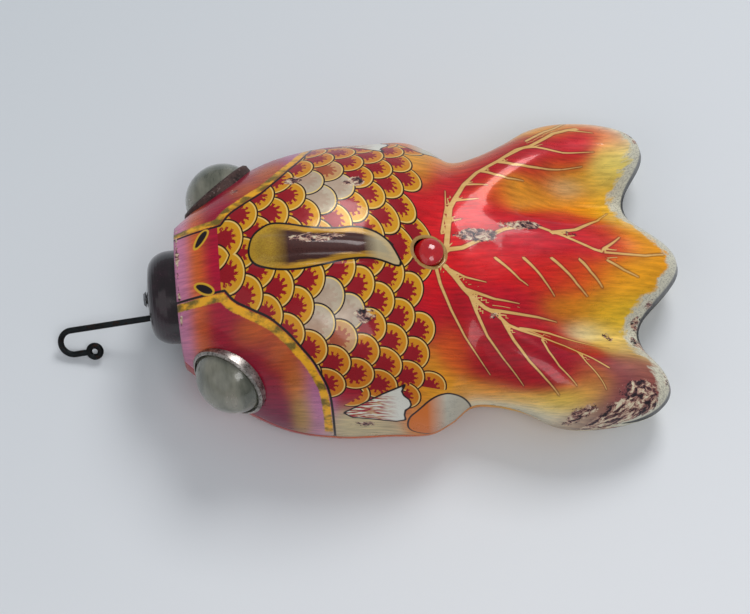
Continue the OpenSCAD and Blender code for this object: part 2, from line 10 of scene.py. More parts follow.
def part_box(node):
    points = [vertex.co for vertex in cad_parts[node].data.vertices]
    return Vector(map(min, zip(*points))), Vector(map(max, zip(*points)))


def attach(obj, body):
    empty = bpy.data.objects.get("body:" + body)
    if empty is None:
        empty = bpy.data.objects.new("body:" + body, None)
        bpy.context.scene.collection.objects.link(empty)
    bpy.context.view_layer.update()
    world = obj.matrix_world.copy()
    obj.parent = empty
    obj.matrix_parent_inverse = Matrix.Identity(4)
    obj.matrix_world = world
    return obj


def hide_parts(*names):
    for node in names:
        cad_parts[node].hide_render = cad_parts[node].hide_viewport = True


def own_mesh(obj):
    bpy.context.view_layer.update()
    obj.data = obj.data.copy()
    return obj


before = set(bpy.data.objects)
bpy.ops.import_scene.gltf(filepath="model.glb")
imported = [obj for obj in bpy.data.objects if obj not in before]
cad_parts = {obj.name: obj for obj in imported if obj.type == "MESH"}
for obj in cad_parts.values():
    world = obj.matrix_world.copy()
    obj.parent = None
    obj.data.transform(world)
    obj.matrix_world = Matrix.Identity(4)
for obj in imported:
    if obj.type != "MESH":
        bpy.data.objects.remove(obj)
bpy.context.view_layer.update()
MM = 0.001
bpy.context.scene.view_settings.view_transform = "Standard"  # printed inks keep their own strength


def add(tree, kind, links=(), out=0, stops=None, **settings):
    """Adds one shader node with its settings, links and ramp stops, and returns one of its outputs."""
    made = tree.nodes.new("ShaderNode" + kind)
    for name, value in settings.items():
        setattr(made, name, value)
    for name, value in dict(links).items():
        if isinstance(value, bpy.types.NodeSocket):
            tree.links.new(value, made.inputs[name])
        else:
            made.inputs[name].default_value = value
    if stops:
        band = made.color_ramp
        while len(band.elements) < len(stops):
            band.elements.new(0.5)
        for element, (place, colour) in zip(band.elements, stops):
            element.position, element.color = place, colour
    return made.outputs[out]


def ink(code):
    """An sRGB hex colour as linear red, green, blue and alpha."""
    parts = [int(code[i:i + 2], 16) / 255 for i in (0, 2, 4)]
    return tuple(c / 12.92 if c <= 0.04045 else ((c + 0.055) / 1.055) ** 2.4 for c in parts) + (1.0,)


# ---------------------------------------------------------------- camera, floor and light
def camera_at(elevation, azimuth, distance, target, focal, shift):
    """Looks at the target from an angle above the floor, in degrees, and a distance in metres."""
    lens = bpy.data.cameras.new("camera")
    lens.sensor_width, lens.lens = 36, focal
    lens.shift_x, lens.shift_y = shift
    lens.clip_end = 20
    made = bpy.data.objects.new("camera", lens)
    bpy.context.collection.objects.link(made)
    e, a = math.radians(elevation), math.radians(azimuth)
    back = Vector((math.sin(a) * math.cos(e), -math.cos(a) * math.cos(e), math.sin(e)))
    made.location = Vector(target) + back * distance
    made.rotation_euler = back.to_track_quat("Z", "Y").to_euler()
    bpy.context.scene.camera = made


camera_at(elevation=68, azimuth=-5, distance=1.0, target=(0.023, 0, 0.015), focal=134.4,
          shift=(-0.0747, -0.0267))

# Area lights: name, place and width in metres, and power in watts.
LAMPS = [
    ("key_light", (0.45, 0.95, 1.15), 0.6, 10.5),
    ("fill_light", (-0.9, -0.7, 1.0), 1.4, 2.5),
    ("top_light", (0.35, -0.75, 1.5), 0.6, 4.5),
]
ROOM_LIGHT = 0.42


def stage():
    """A pale paper sweep, three soft lights and an even room light."""
    bm = bmesh.new()
    bmesh.ops.create_grid(bm, x_segments=24, y_segments=24, size=3.0)
    mesh = bpy.data.meshes.new("floor")
    bm.to_mesh(mesh)
    bm.free()
    floor = bpy.data.objects.new("floor", mesh)
    bpy.context.collection.objects.link(floor)
    # Matt paper sweep: almost no sheen, faint mottling.
    paper = bpy.data.materials.new("matt_paper_sweep_painted_light_falloff")
    paper.use_nodes = True
    t = paper.node_tree
    shader = t.nodes["Principled BSDF"]
    shader.inputs["Roughness"].default_value = 0.85
    shader.inputs["Specular IOR Level"].default_value = 0.2
    place = add(t, "TexCoord", out="Object")
    cloud = add(t, "TexNoise", {"Vector": place, "Scale": 3.0, "Detail": 3.0})
    tint = add(t, "ValToRGB", {"Fac": cloud}, stops=[(0.3, ink("F0F2F6")), (0.7, ink("F5F7FA"))])
    # Painted light: the sweep is painted paler towards the front right, standing in for the light falling off
    # across it.
    near = add(t, "VectorMath", {0: place, 1: (0.9, -1.6, 0.0)}, operation="DOT_PRODUCT", out="Value")
    pale = add(t, "MapRange", {0: near, 1: -0.35, 2: 0.4})
    tint = add(t, "MixRGB", {"Fac": pale, "Color1": ink("D2D8DD"), "Color2": tint}, blend_type="MIX")
    t.links.new(tint, shader.inputs["Base Color"])
    mesh.materials.append(paper)
    for name, place, size, power in LAMPS:
        lamp = bpy.data.lights.new(name, "AREA")
        lamp.size, lamp.energy = size, power
        made = bpy.data.objects.new(name, lamp)
        made.location = place
        made.rotation_euler = (Vector(place) - Vector((0, 0, 0.02))).to_track_quat("Z", "Y").to_euler()
        bpy.context.collection.objects.link(made)
    world = bpy.data.worlds.new("studio")
    bpy.context.scene.world = world
    world.use_nodes = True
    sky = world.node_tree.nodes["Background"]
    sky.inputs["Color"].default_value = ink("E4E7EC")
    sky.inputs["Strength"].default_value = ROOM_LIGHT


stage()

# ---------------------------------------------------------------- the tin body's shape, in millimetres
LENGTH, BODY_W, WAIST_W, TAIL_W = 177.5, 108.0, 92.0, 116.0
BODY_H, ROOT_H, TIP_H, SEAM_H = 60.0, 42.0, 25.0, 14.0
NOSE_R, NOSE_Z, WALL = 24.0, 25.0, 0.8
FIN_H, VALLEY_D, VALLEY_W = 2.4, 9.0, 0.15
# The tail begins at BODY_END and rounds over in its last TAIL_CAP. Its rim has a middle lobe and two side
# lobes, with notches between them at a share NOTCH_V of the half width.
BODY_END, TAIL_CAP, CAP_POWER = 100.0, 16.0, 2.6
NOTCH_V, SIDE_V, NOTCH_D, SIDE_BACK, CORNER_D = 0.44, 0.8, 17.0, 8.0, 18.0
BELLY_FLAT = 0.5  # share of the half width over which the belly is flat
# Eye: distance from the nose rim, from the middle and from the floor, then the way it looks.
EYE = (14.6, 36.7, 31.8)
EYE_AXIS = (-0.588, 0.76, 0.277)
EYE_HOLE = 13.4  # the sheet runs a millimetre under the ring
BUTTON_X, BUTTON_HOLE = 88.0, 5.3
HOLE_REACH, BUTTON_REACH = 12.0, 8.0  # how far below its centre a hole still cuts
NOSE_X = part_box("back_shell")[0][0] / MM
# The battery door's opening: the door with its gaps, wider at the hinge end.
DOOR_GAP, HINGE_GAP = 0.3, 1.1
DOOR_LOW, DOOR_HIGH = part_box("battery_door")
DOOR_HOLE = ((DOOR_LOW[0] / MM - HINGE_GAP, DOOR_LOW[1] / MM - DOOR_GAP),
             (DOOR_HIGH[0] / MM + DOOR_GAP, DOOR_HIGH[1] / MM + DOOR_GAP))
BELLY_LOW = 4.0  # the belly's flat stays below this height

# Half width, top, seam and belly heights by the distance from the nose rim.
HALF = [(0, NOSE_R), (8, 0.29 * BODY_W), (20, 0.382 * BODY_W), (35, 0.455 * BODY_W), (52, 0.491 * BODY_W),
        (70, 0.5 * BODY_W), (84, 0.505 * BODY_W), (92, (BODY_W + WAIST_W) / 4 + 1), (99, WAIST_W / 2),
        (108, WAIST_W / 2 + 0.3), (122, 0.2 * WAIST_W + 0.27 * TAIL_W), (138, 0.475 * TAIL_W),
        (152, 0.497 * TAIL_W),
        (165, 0.5 * TAIL_W), (LENGTH, 0.49 * TAIL_W)]
TOP = [(0, NOSE_Z + NOSE_R), (8, BODY_H - 7), (20, BODY_H - 2.5), (35, BODY_H), (50, BODY_H),
       (65, BODY_H - 2),
       (78, BODY_H - 7), (89, ROOT_H + 5), (100, ROOT_H + 1), (115, ROOT_H - 1.5),
       (132, (ROOT_H + TIP_H) / 2 + 3),
       (150, TIP_H + 6), (165, TIP_H + 2), (LENGTH, TIP_H)]
SEAM = [(0, NOSE_Z - 1), (12, (NOSE_Z + SEAM_H) / 2), (30, SEAM_H + 1), (50, SEAM_H), (LENGTH, SEAM_H)]
BELLY = [(0, 1.5), (8, 0.5), (16, 0), (18, 0), (112, 0), (114, 0), (130, 1.5), (LENGTH, 3)]


def ease(t):
    """Rises smoothly from 0 to 1."""
    t = np.clip(t, 0, 1)
    return t * t * (3 - 2 * t)


def curve(points, x):
    """A smooth curve through the points, with each slope taken from its neighbours."""
    xs, ys = (np.array(row, float) for row in zip(*points))
    slopes = np.empty(len(xs))
    slopes[1:-1] = (ys[2:] - ys[:-2]) / (xs[2:] - xs[:-2])
    slopes[0] = (ys[1] - ys[0]) / (xs[1] - xs[0])
    slopes[-1] = (ys[-1] - ys[-2]) / (xs[-1] - xs[-2])
    k = np.clip(np.searchsorted(xs, x, side="right") - 1, 0, len(xs) - 2)
    step = xs[k + 1] - xs[k]
    t = np.clip((x - xs[k]) / step, 0, 1)
    return ((2 * t**3 - 3 * t**2 + 1) * ys[k] + (t**3 - 2 * t**2 + t) * step * slopes[k]
            + (3 * t**2 - 2 * t**3) * ys[k + 1] + (t**3 - t**2) * step * slopes[k + 1])


def lobes(a):
    """How far the tail's rim lies from its tips, by the share of the half width."""
    outer = -SIDE_BACK - CORNER_D * (1 - np.sqrt(np.clip(1 - ((a - SIDE_V) / (1 - SIDE_V)) ** 2, 0, 1)))
    notch = (1 - np.cos(np.pi * (a - NOTCH_V) / (SIDE_V - NOTCH_V))) / 2
    notch = -NOTCH_D + (NOTCH_D - SIDE_BACK) * notch
    middle = -NOTCH_D * (1 - np.cos(np.pi * a / NOTCH_V)) / 2
    return np.where(a > SIDE_V, outer, np.where(a > NOTCH_V, notch, middle))


def plan_x(x, v):
    """Draws the tail's cross rows back to the lobed rim."""
    return x + ease((x - BODY_END) / (LENGTH - BODY_END)) * lobes(np.abs(v))


def closing(x):
    """Rounds the tail over its rim, down to the seam."""
    t = np.clip((LENGTH - x) / TAIL_CAP, 0, 1)
    return (1 - (1 - t) ** CAP_POWER) ** (1 / CAP_POWER)


def back_surface(x, s):
    """Places on the upper shell, x along the fish and s from -1 to 1 across it."""
    v = np.sin(np.pi / 2 * s)
    width, z0 = curve(HALF, x), curve(SEAM, x)
    power = 2.15 + 1.5 * ease((x - 95) / 40)
    crown = np.clip(1 - np.abs(v) ** power, 0, 1) ** (1 / power)
    valley = ease((x - BODY_END) / 50) * VALLEY_D * np.exp(-(((np.abs(v) - NOTCH_V) / VALLEY_W) ** 2))
    t = (x - 24) / 56
    side = v * width
    fin = FIN_H * ease(t / 0.15) * ease((1 - t) / 0.25) * np.exp(-(((side - 1 + 3 * t) / (5.5 - 2 * t)) ** 4))
    z = z0 + (curve(TOP, x) - z0 - valley + fin) * crown * closing(x)
    return plan_x(x, v), side, z


def belly_surface(x, s):
    """Places on the lower shell, in the same way."""
    v = np.sin(np.pi / 2 * s)
    width, z0 = curve(HALF, x), curve(SEAM, x)
    a = np.clip((np.abs(v) - BELLY_FLAT) / (1 - BELLY_FLAT), 0, 1)
    crown = np.clip(1 - a**2.3, 0, 1) ** (1 / 2.3)
    z = z0 - (z0 - np.maximum(curve(BELLY, x), 0)) * crown * closing(x)
    return plan_x(x, v), v * width, z


# ---------------------------------------------------------------- the printed pattern, in millimetres
# Across the print, u runs back from the nose rim and v runs over the back from the ridge, far side positive.
PRINT_SHIFT = 1.5  # the sheet was pressed a little off centre
MIDLINE = 2.3  # v of the print's own middle line
FAR_OFF = 50.0  # a distance at which a mark can't show
RIB_REACH = 1.9  # beyond this a rib has no width, so that it can't show between the points
SCALE_MID, SCALE_SPAN = (50.0, 26.0), 30.0  # where the scales' lattice is centred, and its unit

GILL = [(17, -10), (20, -14.5), (25, -17.5), (30, -21), (34, -24.5), (38.6, -29.5), (42.5, -35), (45.4, -39),
        (48.2, -45.5), (50, -51), (50.5, -60), (50.5, -78)]
FIN = [(25.5, 0), (27.5, 8), (31.8, 12), (35, 12.8), (39.7, 12), (48, 9.7), (57, 8.9), (62.4, 9.7),
       (67.5, 8.9),
       (72.6, 6), (76, 1.2), (79, -6), (70, -3.6), (60, -4), (50, -6), (40, -7), (30, -5)]
NOSTRILS = [[(7, 7), (10, 9), (12.5, 13), (11.5, 14.6), (9, 12.5)],
            [(6.3, -5.6), (9.8, -6), (13, -8.6), (12.6, -10.4), (9, -9)]]
SIDE_FIN = [(54, -61), (58, -58.5), (66, -53.5), (76, -47), (74.6, -50), (75.2, -51.6), (77, -53),
            (77.6, -55), (77, -56.5), (75.4, -58), (75, -60.5), (75.4, -63), (72, -64.8), (68, -65.2),
            (57, -63.6)]
LOW_FIN = [(76, -62), (80, -57), (84, -52), (88, -49.3), (92, -48.8), (96, -51), (98.4, -56), (99, -62),
           (97, -70), (84, -72), (76, -70)]

# Tail ribs: points, then half the width at the root and at the tip.
RIBS = [
    ([(94, 2), (95, 8), (97, 20), (99, 24), (103, 31), (108, 36), (117, 40.5), (125, 46), (131, 48),
      (143, 56.5), (150, 58.7), (155, 59.5)], 0.95, 0.5),
    ([(93, 9), (95.5, 20), (96, 28)], 0.4, 0.12),
    ([(95, 14), (101, 15.5)], 0.4, 0.12), ([(98.5, 23.5), (108, 24)], 0.5, 0.12),
    ([(103, 31), (112.5, 29.5)], 0.5, 0.12),
    ([(110, 36.5), (115, 34), (121, 32.6), (129, 33.2)], 0.6, 0.12),
    ([(117, 40), (123, 38.5), (130, 38.7), (140, 40.2), (156, 43)], 0.7, 0.12),
    ([(120, 42.5), (128, 47), (133, 47.8), (145, 47.3), (159, 48.5)], 0.7, 0.12),
    ([(150, 58.7), (160, 57)], 0.5, 0.12),
    ([(130, 51), (140, 57.5), (150, 62), (160, 66), (175, 72)], 0.5, 0.12),
    ([(94, 3), (100, 4), (104, 6), (116, 11), (128, 13.5), (138, 9), (147, 4), (150, 3), (165, 2),
      (172, 3)], 0.8, 0.3),
    ([(134, 10), (145, 12), (160, 18), (170, 25)], 0.7, 0.12), ([(150, 4), (160, 9.5)], 0.5, 0.12),
    ([(111, 0), (115, -3.5), (120, -8), (124, -10.3)], 0.5, 0.12),
    ([(121, 0), (125, -3.8), (130, -8.5), (136, -13.5)], 0.5, 0.12),
    ([(131, 0), (136, -4), (143, -9), (150, -13)], 0.5, 0.12),
    ([(141, 0), (146, -4.5), (154, -10)], 0.5, 0.12),
    ([(151, 0), (158, -3.5), (165, -6)], 0.4, 0.12),
    ([(93, -3), (96, -6.5), (99, -11), (102, -14.5), (106, -18), (110, -20), (115, -24.5), (120, -26.5),
      (130, -30), (140, -34), (150, -40), (155, -44)], 0.9, 0.35),
    ([(94, -4), (100, -7), (107.5, -9)], 0.5, 0.12), ([(100, -11.5), (110, -15), (121, -16.5)], 0.6, 0.12),
    ([(108, -19), (130, -21), (140, -22.5)], 0.6, 0.12),
    ([(120, -26), (135, -27.2), (150, -30), (163, -33)], 0.7, 0.12),
    ([(90, -4), (91, -10), (94, -19), (98, -28), (102, -35), (106, -42)], 0.6, 0.12),
    ([(101, -13), (103, -20), (106, -28), (111, -36), (119, -47)], 0.7, 0.12),
    ([(113, -23), (116, -30), (121, -38), (127, -45), (134, -52.5)], 0.7, 0.12),
    ([(129, -31), (130, -36), (133, -42), (140, -50)], 0.6, 0.12),
    ([(145, -37), (146, -42), (152, -52)], 0.5, 0.12),
]

# Patches of ink that run into each other, as the airbrushed plate does: u, v, reach along u and v, colour.
INKS = [
    (2.5, 0, 2.6, 60, "C87FA4"), (7.5, 0, 2.6, 60, "DC7018"), (14, 2, 5, 9, "B00A34"),
    (12, 24, 5, 9, "A00A2E"), (12, -20, 5, 9, "A80A30"),
    (22, 40, 12, 12, "8E0636"), (24, -42, 14, 14, "92042C"), (22, 60, 12, 10, "9A0A34"),
    (28, -62, 10, 8, "74103C"),
    (27, -26, 5, 4, "CC6418"), (35, -35, 4, 5, "D06E1A"), (39, -46, 3, 6, "D8801C"),
    (27, 31, 5, 4, "C0641C"), (34, 40, 4, 5, "C86E1C"),
    (45, -55, 3.5, 14, "C07CA8"), (45, 56, 3.5, 14, "B8709A"), (40, -61, 2.6, 8, "C0A030"),
    (12, -48, 3, 6, "CC8420"),
    (40, 0, 12, 14, "A0042A"), (55, 25, 14, 14, "9A0428"), (55, -25, 14, 14, "9A0428"),
    (72, 0, 10, 30, "AC0828"),
    (66, -44, 12, 8, "A40A28"), (66, 46, 12, 8, "A00A2A"), (60, -70, 8, 6, "C8B890"),
    (66, 64, 10, 8, "8E0C28"),
    (84, 4, 4, 14, "DE1018"), (88, -2, 6, 10, "DE1018"), (84, -46, 5, 8, "E8A01C"),
    (84, -64, 5, 8, "E0841C"), (84, 45, 6, 8, "ECAC24"), (86, 60, 6, 8, "E8BC40"),
    (96, 12, 6, 8, "D8101A"), (102, 8, 8, 6, "D20E1A"), (104, 20, 8, 7, "D40E1A"),
    (114, 20, 6, 6, "CE1420"), (100, 30, 5, 5, "BE0A20"),
    (104, 42, 10, 8, "B80824"), (120, 50, 8, 6, "B00A2A"), (133, 46, 8, 6, "B4102C"),
    (112, 26, 6, 3, "DC3A18"), (124, 26, 9, 3.5, "E4962C"), (138, 30, 9, 3.5, "E8A02C"),
    (138, 38, 8, 4, "CE1E20"), (146, 31, 10, 4, "EC9A1C"),
    (148, 44, 8, 4, "C8201E"), (152, 38, 10, 4, "ECB424"), (166, 46, 6, 7, "EED86A"),
    (166, 56, 5, 5, "E0582A"), (172, 60, 6, 8, "E8E0C0"), (150, 35, 6, 2.5, "E8E0B4"),
    (150, 50, 7, 5, "C8142C"), (156, 54, 6, 4, "CC2034"), (140, 64, 14, 5, "E08A20"),
    (165, 70, 9, 5, "E0D8B8"),
    (98, 52, 8, 8, "E8A020"), (112, 60, 12, 8, "E8B030"), (130, 68, 14, 6, "ECC850"),
    (118, 8, 10, 6, "C00C26"), (132, 12, 9, 6, "C8142A"), (146, 18, 9, 7, "CC1C2C"),
    (150, 6, 9, 5, "C81422"), (158, 12, 7, 6, "D23A20"), (166, 6, 6, 8, "EC9E1C"),
    (170, 20, 6, 8, "F0BC28"), (160, 26, 6, 4, "EC9A1C"),
    (104, -4, 8, 5, "D60E18"), (118, -4, 9, 4, "D8141A"), (132, -6, 9, 5, "D2201A"),
    (146, -8, 9, 5, "DC5418"), (160, -8, 8, 6, "F0A61C"), (162, -20, 10, 6, "F2C82C"),
    (146, -18, 9, 4, "E88E1A"),
    (154, -25, 7, 2.6, "E8E0B0"), (120, -18, 9, 4, "C81026"), (134, -25, 10, 4, "C41830"),
    (110, -15, 6, 4, "BE0A24"),
    (98, -20, 7, 10, "B0041C"), (110, -32, 10, 9, "A6041C"), (126, -36, 11, 9, "9E041E"),
    (138, -38, 10, 7, "9C0626"), (94, -34, 4, 6, "E0601A"), (148, -36, 6, 4, "B41428"),
    (104, -38, 7, 5, "B40820"), (118, -43, 8, 4, "B20A20"), (132, -45, 8, 4, "B20E22"),
    (145, -46, 6, 4, "A8182C"),
    (102, -50, 8, 4, "E8981C"), (118, -54, 9, 3.5, "ECB020"), (134, -56, 9, 4, "ECC43A"),
    (92, -48, 6, 6, "ECA41E"), (110, -60, 14, 5, "E2DCC0"), (128, -64, 12, 6, "D8D2B8"),
    (98, -58, 5, 5, "E8DCB8"),
    (146, -50, 6, 5, "D8A040"), (158, -52, 9, 7, "8A4048"), (168, -44, 6, 6, "9A5A4C"),
    (166, -62, 10, 8, "5E3038"), (150, -66, 10, 6, "B8A088"), (170, -32, 6, 5, "E0C070"),
    (172, -72, 8, 8, "6A4648"),
]
# Places where handling has taken the ink off or darkened it: u, v, reach along u and v, how much.
RUBBED = [(64, -24, 5, 5, 0.8), (64, 29, 5, 4, 0.85), (43, 32, 4, 4, 0.8), (50, 5, 13, 3, 0.9),
          (1, 0, 1.2, 70, 0.6), (22, 32, 4, 4, 0.55), (166, -60, 13, 15, 1.0),
          (106, 9, 10, 3.5, 0.95), (124, 13, 11, 3, 0.85), (140, 10, 7, 2.5, 0.6), (110, -21, 4, 2, 0.7),
          (176, -30, 4, 30, 0.6), (176, 60, 4, 16, 0.7), (165, -27, 5, 4, 0.6), (104, 33, 5, 3, 0.5),
          (60, -68, 9, 4, 0.55), (148, -62, 8, 8, 0.7)]


def rounded(points, closed=True):
    """Cuts each corner of an outline twice, so that it reads as drawn with a brush."""
    for _ in range(2):
        after = points[1:] + points[:1] if closed else points[1:]
        cut = []
        for (u0, v0), (u1, v1) in zip(points, after):
            cut += [(0.75 * u0 + 0.25 * u1, 0.75 * v0 + 0.25 * v1),
                    (0.25 * u0 + 0.75 * u1, 0.25 * v0 + 0.75 * v1)]
        points = cut if closed else [points[0]] + cut + [points[-1]]
    return points


def reach(points, u, v):
    """Distance to a line of points."""
    best = np.full(u.shape, 1e3)
    for (u0, v0), (u1, v1) in zip(points, points[1:]):
        du, dv = u1 - u0, v1 - v0
        t = np.clip(((u - u0) * du + (v - v0) * dv) / (du * du + dv * dv), 0, 1)
        best = np.minimum(best, np.hypot(u - u0 - t * du, v - v0 - t * dv))
    return best


def strands(ribs, u, v):
    """Signed distance from the nearest rib's middle, and its half width, which shrinks past its ends."""
    best, away, half = np.full(u.shape, 1e3), np.full(u.shape, FAR_OFF), np.full(u.shape, -1.0)
    for points, start, end in ribs:
        last = len(points) - 2
        for k, ((u0, v0), (u1, v1)) in enumerate(zip(points, points[1:])):
            du, dv = u1 - u0, v1 - v0
            length = math.hypot(du, dv)
            along = ((u - u0) * du + (v - v0) * dv) / length**2
            t = np.clip(along, 0, 1)
            beyond = np.where(along > 1, (along - 1) * (k == last), 0) + np.where(along < 0,
                    -along * (k == 0), 0)
            width = start + (end - start) * (k + t) / (last + 1) - beyond * length
            du_off, dv_off = u - u0 - t * du, v - v0 - t * dv
            gap = np.hypot(du_off, dv_off)
            closer = gap - width < best
            best = np.where(closer, gap - width, best)
            away = np.where(closer, np.where(du * dv_off - dv * du_off < 0, -gap, gap), away)
            half = np.where(closer, np.where(gap < RIB_REACH, width, -1.0), half)
    return away, half


def signed(points, u, v):
    """Distance to a closed outline, negative inside it."""
    inside = np.zeros(u.shape, bool)
    ring = points + points[:1]
    for (u0, v0), (u1, v1) in zip(ring, ring[1:]):
        if v0 != v1:
            inside ^= ((v0 > v) != (v1 > v)) & (u < (u1 - u0) * (v - v0) / (v1 - v0) + u0)
    return np.where(inside, -1, 1) * reach(ring, u, v)


def blended(patches, u, v):
    """The colour at each place, shared between the patches of ink by how near they are."""
    total, weight = np.zeros(u.shape + (4,)), np.full(u.shape, 1e-9)
    for pu, pv, ru, rv, code in patches:
        share = np.exp(-(((u - pu) / ru) ** 2 + ((v - pv) / rv) ** 2) * 0.7)
        share = share + 1e-6 / (1 + (u - pu) ** 2 + (v - pv) ** 2)
        total += share[..., None] * np.array(ink(code))
        weight += share
    return total / weight[..., None]


def store(mesh, name, kind, rows):
    """Puts one colour or vector on each point of a mesh, for the materials to read."""
    layer = mesh.attributes.new(name, kind, "POINT")
    layer.data.foreach_set("color" if kind == "FLOAT_COLOR" else "vector",
                           np.ascontiguousarray(rows, dtype=np.float32).ravel())


def shell(name, surface, rows, columns, inks, underside=False):
    """One half of the body: a grid laid over the surface, which carries the print's coordinates and marks."""
    bm = bmesh.new()
    bmesh.ops.create_grid(bm, x_segments=rows, y_segments=columns, size=0.5)
    mesh = bpy.data.meshes.new(name)
    bm.to_mesh(mesh)
    bm.free()
    flat = np.empty(len(mesh.vertices) * 3, np.float32)
    mesh.vertices.foreach_get("co", flat)
    flat = flat.reshape(-1, 3).astype(float)
    i = np.rint((flat[:, 0] + 0.5) * rows).astype(int)
    j = np.rint((flat[:, 1] + 0.5) * columns).astype(int)
    share = np.linspace(0, 1, rows + 1)
    x = LENGTH * (share + 0.06 * np.sin(2 * np.pi * share) / (2 * np.pi))
    s = np.linspace(-1, 1, columns + 1)
    grid_x, grid_s = np.meshgrid(x, s, indexing="ij")
    place = np.stack(surface(grid_x, grid_s), -1)
    steps = np.linalg.norm(np.diff(place[..., 1:], axis=1), axis=-1)
    across = np.concatenate([np.zeros((rows + 1, 1)), np.cumsum(steps, axis=1)], axis=1)
    across -= across[:, columns // 2:columns // 2 + 1]
    co = place[i, j]
    co[:, 0] += NOSE_X
    mesh.vertices.foreach_set("co", (co * MM).astype(np.float32).ravel())
    u, v = grid_x[i, j], across[i, j] + PRINT_SHIFT
    side = np.abs(v - MIDLINE)
    far_v = np.where(v > MIDLINE, 2 * MIDLINE - v, v)
    near_v = np.where(v > MIDLINE, -v, v)
    head = [(-5, -10)] + rounded(GILL, closed=False) + [(-5, -78)]
    gill = signed(head, u, far_v)
    ribs, rib_half = strands(RIBS, u, v)
    nostrils = np.min([signed(rounded(drop), u, v) for drop in NOSTRILS], axis=0)
    fins, lower = signed(SIDE_FIN, u, near_v), signed(rounded(LOW_FIN), u, near_v)
    # Row and column numbers of the scales, which bend with the body.
    p, q = (u - SCALE_MID[0]) / SCALE_SPAN, (side - SCALE_MID[1]) / SCALE_SPAN
    cell_i = -0.6 + 2.15 * p - 2.5 * q - 0.3 * p * p - 0.25 * p * q - 0.5 * q * q
    cell_j = 1.8 + 1.05 * p + 3.9 * q + 0.55 * p * p + 0.2 * p * q + 0.2 * q * q
    rubbed = np.zeros(u.shape)
    for pu, pv, ru, rv, much in RUBBED:
        rubbed = np.maximum(rubbed, much * np.exp(-((u - pu) / ru) ** 2 - ((v - pv) / rv) ** 2))
    if underside:
        ribs = nostrils = fins = lower = np.full(u.shape, FAR_OFF)
        rubbed = rubbed * 0.6
    outline = np.full(u.shape, FAR_OFF) if underside else signed(rounded(FIN), u, v)
    store(mesh, "ink", "FLOAT_COLOR", blended(inks, u, v))
    store(mesh, "print", "FLOAT_VECTOR", np.stack([u, v, side], -1))
    store(mesh, "scales", "FLOAT_VECTOR", np.stack([cell_i, cell_j, gill], -1))
    store(mesh, "lines", "FLOAT_VECTOR", np.stack([ribs, outline, fins], -1))
    store(mesh, "ribs", "FLOAT_VECTOR", np.stack([rib_half, lower, u * 0], -1))
    ring = np.hypot(u - BUTTON_X, v - PRINT_SHIFT) + FAR_OFF * underside
    store(mesh, "marks", "FLOAT_VECTOR", np.stack([nostrils, rubbed, ring], -1))
    return mesh


def cut_round(bm, centre, axis, radius, height):
    """Opens a round hole along an axis and draws its edge out to a true circle."""
    centre, axis = Vector(centre), Vector(axis).normalized()

    def off(point):
        along = (point - centre).dot(axis)
        return (point - centre) - axis * along, along

    gone = [face for face in bm.faces if off(face.calc_center_median())[0].length < radius
            and off(face.calc_center_median())[1] > -height]
    edge = {vert for face in gone for vert in face.verts}
    bmesh.ops.delete(bm, geom=gone, context="FACES")
    for vert in edge:
        if vert.is_valid:
            out, along = off(vert.co)
            vert.co = centre + axis * along + out.normalized() * radius


def open_eyes(bm):
    """Cuts both eyes' holes."""
    for side in (1, -1):
        centre = ((EYE[0] + NOSE_X) * MM, side * EYE[1] * MM, EYE[2] * MM)
        cut_round(bm, centre, (EYE_AXIS[0], side * EYE_AXIS[1], EYE_AXIS[2]), EYE_HOLE * MM, HOLE_REACH * MM)


def finish_mesh(name, mesh, body, node, material, thickness=None):
    """Makes the piece, gives a sheet its thickness inwards, hangs it on its body and hides the CAD part it takes
    the place of.
    """
    made = bpy.data.objects.new(name, mesh)
    bpy.context.collection.objects.link(made)
    mesh.materials.clear()
    mesh.materials.append(material)
    for polygon in mesh.polygons:
        polygon.use_smooth = True
    if thickness:
        wall = made.modifiers.new("wall", "SOLIDIFY")
        wall.thickness, wall.offset, wall.use_even_offset = thickness, -1.0, True
    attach(made, body)
    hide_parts(node)
    return made


def mask(t, distance, edge, soft):
    """One where the distance is below the edge, falling to nought over the soft width."""
    return add(t, "Math", {0: distance, 1: -1 / soft, 2: edge / soft + 0.5}, operation="MULTIPLY_ADD",
               use_clamp=True)


def over(t, below, above, share):
    """One colour laid over another."""
    return add(t, "MixRGB", {"Fac": share, "Color1": below, "Color2": above})


